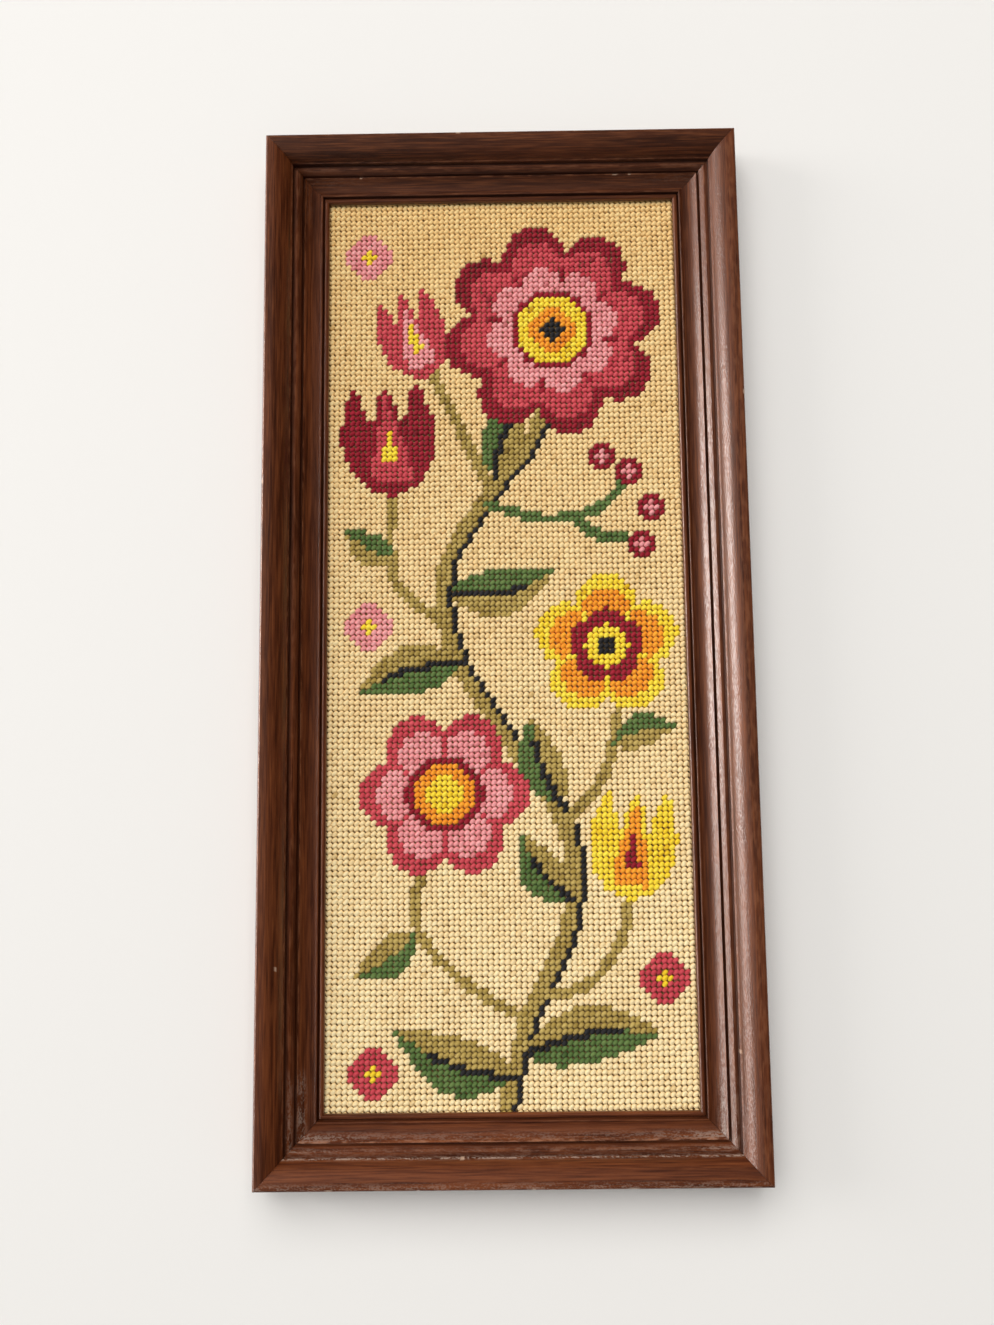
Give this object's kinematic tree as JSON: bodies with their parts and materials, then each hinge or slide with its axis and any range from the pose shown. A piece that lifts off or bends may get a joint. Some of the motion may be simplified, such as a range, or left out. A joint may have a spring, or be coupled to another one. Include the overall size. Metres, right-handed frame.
{
  "type": "needlepoint canvas panel in a moulded wooden frame",
  "caption": "Tall narrow needlepoint panel worked in wool tent stitch on canvas, set in a mitred moulded wooden frame.",
  "frame": {"origin": "middle of the frame's back, on the surface it lies on", "axes": "+Z out of the stitched face, +Y to the top of the picture along the long side, +X to the right of the picture"},
  "size_m": [0.226, 0.4876, 0.0234],
  "materials": {
    "wool": "matt tapestry wool in tent stitch, mostly ecru, with coloured motifs",
    "wool_burgundy": "matt tapestry wool, deep burgundy",
    "wool_rose": "matt tapestry wool, dusty rose",
    "wool_pink": "matt tapestry wool, light pink",
    "wool_yellow": "matt tapestry wool, bright yellow",
    "wool_orange": "matt tapestry wool, orange",
    "wool_green": "matt tapestry wool, leaf green",
    "wool_olive": "matt tapestry wool, olive gold",
    "wool_black": "matt tapestry wool, black",
    "canvas": "stiff open-mesh cotton canvas, tan",
    "frame_wood": "dark reddish-brown stained hardwood, satin, slightly worn on its edges"
  },
  "bodies": {
    "root": {"canvas_panel": "wool", "rail_top": "frame_wood", "rail_bottom": "frame_wood", "rail_left": "frame_wood", "rail_right": "frame_wood"}
  },
  "joints": []
}
